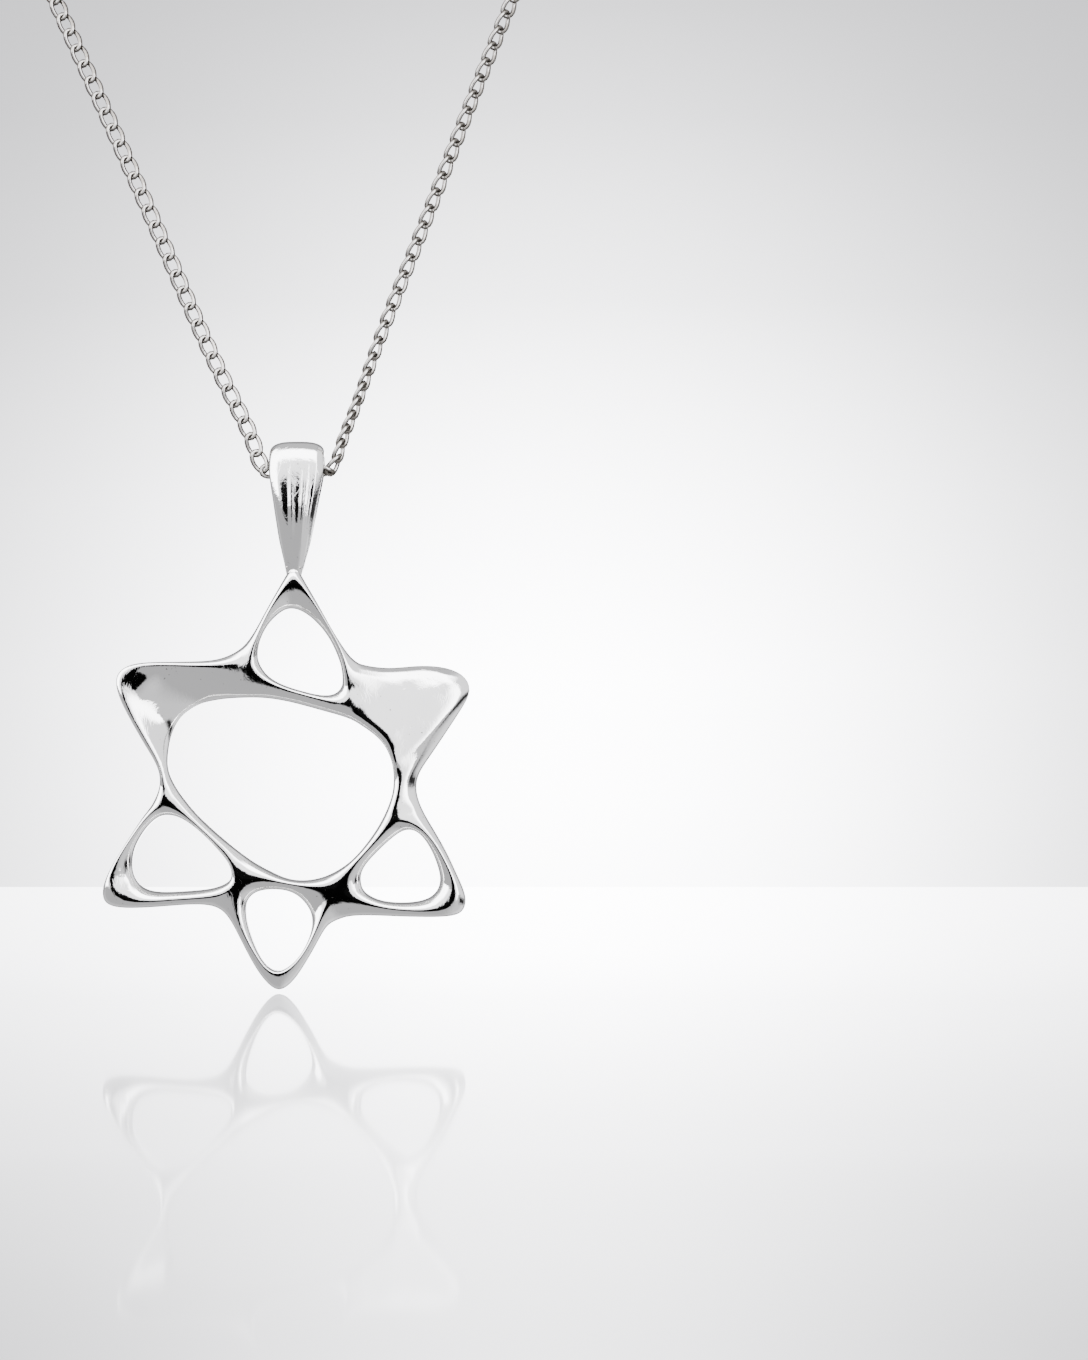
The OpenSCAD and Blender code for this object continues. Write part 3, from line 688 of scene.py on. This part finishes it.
def scratch_lines(t, place, cloud):
    """1 along the scratches and 0 beside them."""
    bends = noise(t, place, BEND_SCALE, 1.0, output="Color")
    bent = t.add("ShaderNodeVectorMath", {0: bends, 1: BEND_REACH}, operation="MULTIPLY").outputs[0]
    moved = t.add("ShaderNodeVectorMath", {0: place, 1: bent}, operation="ADD").outputs[0]
    lines = []
    for turn in SCRATCH_TURNS:
        stretched = t.add("ShaderNodeMapping", {
            "Vector": moved, "Scale": SCRATCH_STRETCH, "Rotation": turn}).outputs[0]
        edges = t.add("ShaderNodeTexVoronoi", {"Vector": stretched, "Scale": SCRATCH_SCALE},
                      feature="DISTANCE_TO_EDGE").outputs[0]
        lines.append(t.rise(edges, SCRATCH_WIDTH, 0.0))
    return t.math("MULTIPLY", t.math("MAXIMUM", *lines), t.rise(cloud, *SCRATCHED_CLOUDS))


def dark_pits(t, place):
    """1 in the pits and 0 beside them."""
    specks = noise(t, place, PIT_SCALE, 2.0, 0.6)
    patches = noise(t, place, PATCH_SCALE, 2.0)
    limit = t.math("SUBTRACT", PIT_LIMIT, t.math("MULTIPLY", patches, PATCH_REACH))
    return t.rise(t.math("SUBTRACT", specks, limit), 0.0, PIT_EDGE)


def polish_group():
    """A shader group: slow waves, fine peel and scratches as heights, uneven polish and dark pits."""
    tree = bpy.data.node_groups.new("Polish", "ShaderNodeTree")
    sockets = tree.interface
    add_inputs(sockets, (("Roughness", 0.05), ("Variation", 0.03), ("Waves", 1.0), ("Peel", 1.0),
                         ("Scratches", 1.0), ("Pits", 1.0)))
    for name in ("Roughness", "Height", "Tarnish"):
        sockets.new_socket(name, in_out="OUTPUT", socket_type="NodeSocketFloat")
    t = Tree(tree)
    given = t.add("NodeGroupInput").outputs
    place = t.add("ShaderNodeTexCoord").outputs["Object"]
    cloud = noise(t, place, CLOUD_SCALE, 4.0, 0.6)
    uneven = t.math("MULTIPLY", t.math("SUBTRACT", cloud, 0.5), given["Variation"])
    rough = t.math("MAXIMUM", t.math("ADD", given["Roughness"], uneven), LEAST_ROUGHNESS)
    parts = (
        (noise(t, place, WAVE_SCALE, 1.0, 0.4), "Waves", WAVE_HEIGHT),
        (noise(t, place, PEEL_SCALE, 2.0, 0.6), "Peel", PEEL_HEIGHT),
        (scratch_lines(t, place, cloud), "Scratches", -SCRATCH_DEPTH))
    heights = [
        t.math("MULTIPLY", t.math("MULTIPLY", value, given[name]), size) for value, name, size in parts]
    pits = t.math("MULTIPLY", given["Pits"], dark_pits(t, place))
    t.add("NodeGroupOutput", {
        "Roughness": t.math("ADD", rough, t.math("MULTIPLY", pits, PIT_ROUGHNESS)),
        "Height": t.math("ADD", t.math("ADD", heights[0], heights[1]), heights[2]),
        "Tarnish": pits})
    return tree


# Painted shade darkens a wire's edge, which is where its surface has turned this far away, 0 being face
# on and 1 edge on
PAINTED_SHADE_STARTS = 0.01
PAINTED_SHADE_FULL = 0.12


def blend_colours(t, share, a, b):
    """a where share is 0 and b where it is 1. Either may be a colour or a socket."""
    node = t.add("ShaderNodeMix", data_type="RGBA")
    t.put(node.inputs["Factor"], share)
    t.put(node.inputs[6], a)
    t.put(node.inputs[7], b)
    return node.outputs[2]


def silver_material(name, polish, colour, dark, painted_edge_shade=None, metal=1.0, **texture):
    """Polished silver, with painted shade darkening its edges. Texture gives the polish group's inputs.
    """
    material = bpy.data.materials.new(name)
    material.use_nodes = True
    t = Tree(material.node_tree)
    shader = material.node_tree.nodes["Principled BSDF"]
    group = t.add("ShaderNodeGroup", node_tree=polish)
    for key, value in texture.items():
        group.inputs[key.capitalize()].default_value = value
    if painted_edge_shade:
        # Painted shade: the colour darkens where the surface turns from the camera, and the metal's
        # edge tint takes the same dark colour
        facing = t.add("ShaderNodeLayerWeight", {"Blend": 0.5}).outputs["Facing"]
        colour = blend_colours(t, t.rise(facing, PAINTED_SHADE_STARTS, PAINTED_SHADE_FULL), colour, painted_edge_shade)
        shader.inputs["Specular Tint"].default_value = painted_edge_shade
    t.put(shader.inputs["Base Color"], blend_colours(t, group.outputs["Tarnish"], colour, dark))
    shader.inputs["Metallic"].default_value = metal
    t.put(shader.inputs["Roughness"], group.outputs["Roughness"])
    ripple = t.add("ShaderNodeBump", {
        "Height": group.outputs["Height"], "Strength": 1.0, "Distance": 1.0})
    t.put(shader.inputs["Normal"], ripple.outputs[0])
    return material


SILVER = (0.93, 0.925, 0.91, 1)
SILVER_PITS = (0.12, 0.11, 0.1, 1)
WIRE_SILVER = (0.9, 0.88, 0.85, 1)
WIRE_PITS = (0.2, 0.18, 0.16, 1)
# The painted shade on the wire's edges
WIRE_PAINTED_SHADE = (0.17, 0.159, 0.143, 1)
SOLDER_GREY = (0.3, 0.29, 0.28, 1)
SOLDER_PITS = (0.08, 0.08, 0.08, 1)


def polished_silver(polish):
    """The star's mirror finish."""
    return silver_material("Polished silver", polish, SILVER, SILVER_PITS,
                           roughness=0.05, variation=0.04)


def worn_silver(polish):
    """The bail's finish, with stronger waves and scratches than the star's."""
    return silver_material("Worn silver", polish, SILVER, SILVER_PITS,
                           roughness=0.07, variation=0.06, waves=2.2, peel=2.0, scratches=2.0)


def dull_solder(polish):
    """The grey solder at the bail's foot."""
    return silver_material("Dull solder", polish, SOLDER_GREY, SOLDER_PITS,
                           roughness=0.35, variation=0.2)


def drawn_wire(polish):
    """The wire of the chain, the clasp and the end rings, with painted shade where it turns away."""
    return silver_material("Drawn silver wire", polish, WIRE_SILVER, WIRE_PITS, WIRE_PAINTED_SHADE,
                           metal=0.9, roughness=0.2, variation=0.1, waves=0.3)


def dress(node_name, material):
    """Gives a CAD node its finish."""
    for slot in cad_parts[node_name].material_slots:
        slot.material = material


# The floor, the light and the camera

# The photograph's scale and places, in its pixels
PIXEL = 1 / 10400
FRAME_MIDDLE = (544, 680)
FRAME_HEIGHT = 1360
SEAT_PIXEL = (297.5, 466.5)
FLOOR_PIXEL = 991.5
FLOOR_END_PIXEL = 887
CAMERA_DISTANCE = 0.5
VIEW_MIDDLE = SEAT + Vector((
    (FRAME_MIDDLE[0] - SEAT_PIXEL[0]) * PIXEL, 0, (SEAT_PIXEL[1] - FRAME_MIDDLE[1]) * PIXEL))
FLOOR_Z = SEAT.z - (FLOOR_PIXEL - SEAT_PIXEL[1]) * PIXEL
CAMERA_Y = SEAT.y - CAMERA_DISTANCE
FLOOR_HALF = 0.6
FLOOR_FRONT = 0.35
SENSOR_HEIGHT = 36
NEAREST = 0.01
# The soft spot of light on the backdrop and the floor's painted pool of light, as a sideways share of
# the distance from the camera, and its least reach on the floor
SPOT_SPREAD = 0.075
LEAST_SPOT = 0.005
# The colour of the light and of the floor
PALE = (0.965, 0.965, 1, 1)

# Brightness of the floor's painted glow and of the backdrop at rows of the picture, in the middle of
# the spot and at the sides, and how much of its gloss the floor shows there
FLOOR_ROWS = (1350, 1250, 1150, 1050, 1000, 950, 900)
FLOOR_GLOW_MIDDLE = (3.6, 3.95, 3.9, 2.65, 2.0, 3.3, 3.7)
FLOOR_GLOW_SIDES = (1.45, 1.65, 1.75, 0.8, 0.4, 0.43, 0.75)
FLOOR_GLOSS = (0.1, 0.4, 0.85, 1.0, 1.0, 1.0, 1.0)
GLOSS_ROUGHNESS = 0.04
GLOSS_IOR = 1.5
BACKDROP_ROWS = (887, 800, 680, 500, 300, 120, 10)
BACKDROP_MIDDLE = (12, 13.5, 14, 9.8, 4.7, 2.6, 1.8)
BACKDROP_SIDES = (2.0, 2.0, 2.0, 1.9, 1.4, 1.15, 1.1)

# What the silver mirrors, each a ramp of places and tones. Up and down through the front, in degrees
# from the camera: below it the floor, above it the pale tent, the white softbox and the dim ceiling.
OVERHEAD = [(0, 2.6), (30, 2.9), (37, 10), (66, 10), (76, 0.85), (125, 0.85), (140, 0.4), (180, 0.4)]
UNDER_LEFT = [(-180, 0.4), (-165, 0.6), (-150, 0.9), (-110, 0.8), (-80, 0.62), (0, 0.6)]
UNDER_RIGHT = [(-180, 0.5), (-165, 0.8), (-150, 1.6), (-110, 1.4), (-80, 1.05), (0, 1.0)]
# Round the sides, by how far a direction points to the camera
LEFT_SIDE = [(-1, 0.5), (-0.25, 0.55), (-0.1, 9.0), (0.8, 10.0), (0.93, 2.0), (1, 2.0)]
RIGHT_SIDE = [
    (-1, 1.0), (-0.7, 1.4), (-0.35, 1.7), (0.6, 1.8), (0.68, 9.0), (0.9, 9.0), (0.95, 2.0), (1, 2.0)
]
# How far to the right the floor's right tone takes over, and how far to a side the sides do
UNDER_BLEND = [(-1, 0), (0.1, 0), (0.45, 1), (1, 1)]
SIDE_BLEND = [(0, 0), (0.35, 0), (0.6, 1), (1, 1)]
# How much lower the floor's far edge lies, by how far to the right, and how soft that edge is
HORIZON = [(-1, 0), (0.18, 0), (0.34, 0.16), (0.5, 0.16), (0.62, 0.03), (1, 0.03)]
HORIZON_BLEND = [(-1, 0), (-0.012, 0), (0.012, 1), (1, 1)]
# The dark opening round the camera, by how far a direction points to it
OPENING = [(-1, 1), (0.962, 1), (0.974, 0.002), (1, 0.002)]
# The dark gap on the right, sideways and upwards
GAP_ACROSS = [(-1, 0), (0.74, 0), (0.84, 1), (1, 1)]
GAP_UP = [(-1, 0), (-0.42, 0), (-0.25, 1), (-0.14, 1), (0.06, 0), (1, 0)]
GAP_DARKNESS = 0.97
# The dark surround of the backdrop and the lit backdrop in it, by how far a direction points to the
# camera, and the lit backdrop's tones upwards
SURROUND = [(-1, 1), (-0.86, 1), (-0.7, 0), (1, 0)]
SURROUND_TONE = 0.25
BEHIND = [(-1, 1), (-0.975, 1), (-0.95, 0), (1, 0)]
BEHIND_MIDDLE = [(-1, 12), (0.055, 14), (0.072, 8), (0.09, 3), (0.12, 1.2), (1, 0.5)]
BEHIND_SIDES = [(-1, 5), (0.055, 6), (0.072, 4), (0.09, 1.6), (0.12, 0.8), (1, 0.5)]


def row_slope(row):
    """How steeply the camera looks up at a row of the picture."""
    return (FRAME_MIDDLE[1] - row) * PIXEL / CAMERA_DISTANCE


def floor_y(row):
    """Where a row of the picture falls on the floor."""
    return CAMERA_Y + (FLOOR_Z - VIEW_MIDDLE.z) / row_slope(row)


def ramp(t, value, stops):
    """A ramp of greys over a value, from stops of a place and a brightness."""
    stops = sorted(stops)
    low, high = stops[0][0], stops[-1][0]
    top = max(grey for _, grey in stops)
    node = t.add("ShaderNodeValToRGB", {"Fac": t.rise(value, low, high)})
    marks = node.color_ramp.elements
    while len(marks) < len(stops):
        marks.new(0.5)
    for mark, (place, grey) in zip(marks, stops):
        mark.position = (place - low) / (high - low)
        mark.color = (grey / top,) * 3 + (1,)
    return t.math("MULTIPLY", node.outputs[0], top)


def blend_tones(t, share, a, b):
    """a where share is 0 and b where it is 1."""
    return t.math("ADD", a, t.math("MULTIPLY", t.math("SUBTRACT", b, a), share))


def spot(t, off, middle, sides):
    """A tone that falls softly from the middle to the sides: on the floor a painted pool of light."""
    near = t.math("POWER", math.e, t.math("MULTIPLY", t.math("MULTIPLY", off, off), -1))
    return blend_tones(t, near, sides, middle)


def floor_material():
    """Glossy white floor: a painted glow as its lit tone, and a reflection that grows towards grazing.
    """
    material = bpy.data.materials.new("Glossy white floor")
    material.use_nodes = True
    t = Tree(material.node_tree)
    nodes = material.node_tree.nodes
    nodes.remove(nodes["Principled BSDF"])
    place = t.add("ShaderNodeSeparateXYZ", {0: t.add("ShaderNodeTexCoord").outputs["Object"]}).outputs
    reach = t.math("MULTIPLY", t.math("SUBTRACT", place[1], CAMERA_Y), SPOT_SPREAD)
    off = t.math("SUBTRACT", place[0], VIEW_MIDDLE.x)
    off = t.math("DIVIDE", off, t.math("MAXIMUM", reach, LEAST_SPOT))
    rows = [floor_y(row) for row in FLOOR_ROWS]
    middle, sides, fade = [
        ramp(t, place[1], list(zip(rows, tones))) for tones in (FLOOR_GLOW_MIDDLE, FLOOR_GLOW_SIDES, FLOOR_GLOSS)]
    tone = spot(t, off, middle, sides)
    # Painted light: the floor glows in a painted pool of light, brightest in the middle, instead of
    # being lit by a lamp
    painted_glow = t.add("ShaderNodeEmission", {"Color": PALE, "Strength": tone}).outputs[0]
    gloss = t.add("ShaderNodeBsdfGlossy", {
        "Color": (1, 1, 1, 1), "Roughness": GLOSS_ROUGHNESS}).outputs[0]
    grazing = t.math("MULTIPLY", fade, t.add("ShaderNodeFresnel", {"IOR": GLOSS_IOR}).outputs[0])
    dark = t.add("ShaderNodeEmission", {"Strength": 0.0}).outputs[0]
    shine = t.add("ShaderNodeMixShader", {0: grazing, 1: dark, 2: gloss}).outputs[0]
    both = t.add("ShaderNodeAddShader", {0: painted_glow, 1: shine}).outputs[0]
    t.put(nodes["Material Output"].inputs["Surface"], both)
    return material


def build_floor():
    """The glossy floor. Its far edge is where the photograph's floor ends."""
    back = floor_y(FLOOR_END_PIXEL)
    front = SEAT.y - FLOOR_FRONT
    left = VIEW_MIDDLE.x - FLOOR_HALF
    right = VIEW_MIDDLE.x + FLOOR_HALF
    corners = [
        (left, front, FLOOR_Z), (right, front, FLOOR_Z), (right, back, FLOOR_Z), (left, back, FLOOR_Z)]
    data = bpy.data.meshes.new("Floor")
    data.from_pydata(corners, [], [(0, 1, 2, 3)])
    floor = bpy.data.objects.new("Floor", data)
    bpy.context.collection.objects.link(floor)
    data.materials.append(floor_material())
    floor.visible_glossy = False
    floor.visible_diffuse = False


def seen_backdrop(t, x, z):
    """The pale backdrop that the camera sees, brightest in a soft spot."""
    rows = [row_slope(row) for row in BACKDROP_ROWS]
    middle = ramp(t, z, list(zip(rows, BACKDROP_MIDDLE)))
    sides = ramp(t, z, list(zip(rows, BACKDROP_SIDES)))
    return spot(t, t.math("DIVIDE", x, SPOT_SPREAD), middle, sides)


def mirrored_studio(t, x, z, ahead):
    """The tent, softboxes and dark places that the silver mirrors. Ahead is 1 towards the camera."""
    tilt = t.math("MULTIPLY", t.math("ARCTAN2", z, ahead), math.degrees(1))
    under_share = ramp(t, x, UNDER_BLEND)
    below = blend_tones(t, under_share, ramp(t, tilt, UNDER_LEFT), ramp(t, tilt, UNDER_RIGHT))
    on_right = t.math("GREATER_THAN", x, 0)
    beside = blend_tones(t, on_right, ramp(t, ahead, LEFT_SIDE), ramp(t, ahead, RIGHT_SIDE))
    beside_share = ramp(t, t.math("ABSOLUTE", x), SIDE_BLEND)
    above = blend_tones(t, beside_share, ramp(t, tilt, OVERHEAD), beside)
    up = ramp(t, t.math("ADD", z, ramp(t, x, HORIZON)), HORIZON_BLEND)
    tent = t.math("MULTIPLY", blend_tones(t, up, below, above), ramp(t, ahead, OPENING))
    gap = t.math("MULTIPLY", ramp(t, x, GAP_ACROSS), ramp(t, z, GAP_UP))
    tent = t.math("MULTIPLY", tent, t.math("SUBTRACT", 1, t.math("MULTIPLY", gap, GAP_DARKNESS)))
    tent = blend_tones(t, ramp(t, ahead, SURROUND), tent, SURROUND_TONE)
    off = t.math("DIVIDE", x, SPOT_SPREAD)
    lit_back = spot(t, off, ramp(t, z, BEHIND_MIDDLE), ramp(t, z, BEHIND_SIDES))
    return blend_tones(t, ramp(t, ahead, BEHIND), tent, lit_back)


def build_world():
    """Soft studio light: a pale backdrop to look at, and the studio that the silver mirrors."""
    world = bpy.data.worlds.new("Studio")
    bpy.context.scene.world = world
    world.use_nodes = True
    t = Tree(world.node_tree)
    towards = t.add("ShaderNodeTexCoord").outputs["Generated"]
    x, y, z = t.add("ShaderNodeSeparateXYZ", {0: towards}).outputs
    mirrored = mirrored_studio(t, x, z, t.math("MULTIPLY", y, -1))
    seen = t.add("ShaderNodeLightPath").outputs["Is Camera Ray"]
    background = world.node_tree.nodes["Background"]
    background.inputs["Color"].default_value = PALE
    t.put(background.inputs["Strength"], blend_tones(t, seen, mirrored, seen_backdrop(t, x, z)))


def build_camera():
    """Straight from the front, at the photograph's scale."""
    camera = bpy.data.objects.new("Camera", bpy.data.cameras.new("Camera"))
    bpy.context.collection.objects.link(camera)
    camera.location = VIEW_MIDDLE - Vector((0, CAMERA_DISTANCE, 0))
    camera.rotation_euler = (math.pi / 2, 0, 0)
    camera.data.sensor_fit = "VERTICAL"
    camera.data.sensor_height = SENSOR_HEIGHT
    camera.data.lens = SENSOR_HEIGHT * CAMERA_DISTANCE / (FRAME_HEIGHT * PIXEL)
    camera.data.clip_start = NEAREST
    bpy.context.scene.camera = camera


def add_pendant(polish):
    """The star and the bail in place of their solid, and the solder between them."""
    for piece, silver in ((build_star(), polished_silver(polish)), (build_bail(), worn_silver(polish))):
        piece.data.materials.append(silver)
        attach(piece, "pendant")
        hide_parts("star_and_bail")
    solder = build_solder()
    solder.data.materials.append(dull_solder(polish))
    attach(solder, "pendant")


def add_chain(polish):
    """The two halves of the chain in place of their tubes, and the wire's finish on the rings."""
    wire = drawn_wire(polish)
    tree = curb_tree()
    halves = (
        ("Chain_left", -1, LEFT_FRONT_ROUTE, "chain_left"),
        ("Chain_right", 1, RIGHT_FRONT_ROUTE, "chain_right"))
    for name, side, front, node in halves:
        piece = build_chain(name, side, front, tree, wire)
        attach(piece, "chain")
        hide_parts(node)
    for name in ("clasp", "end_ring_left", "end_ring_right"):
        dress(name, wire)


def main():
    polish = polish_group()
    add_pendant(polish)
    add_chain(polish)
    build_floor()
    build_world()
    build_camera()


main()
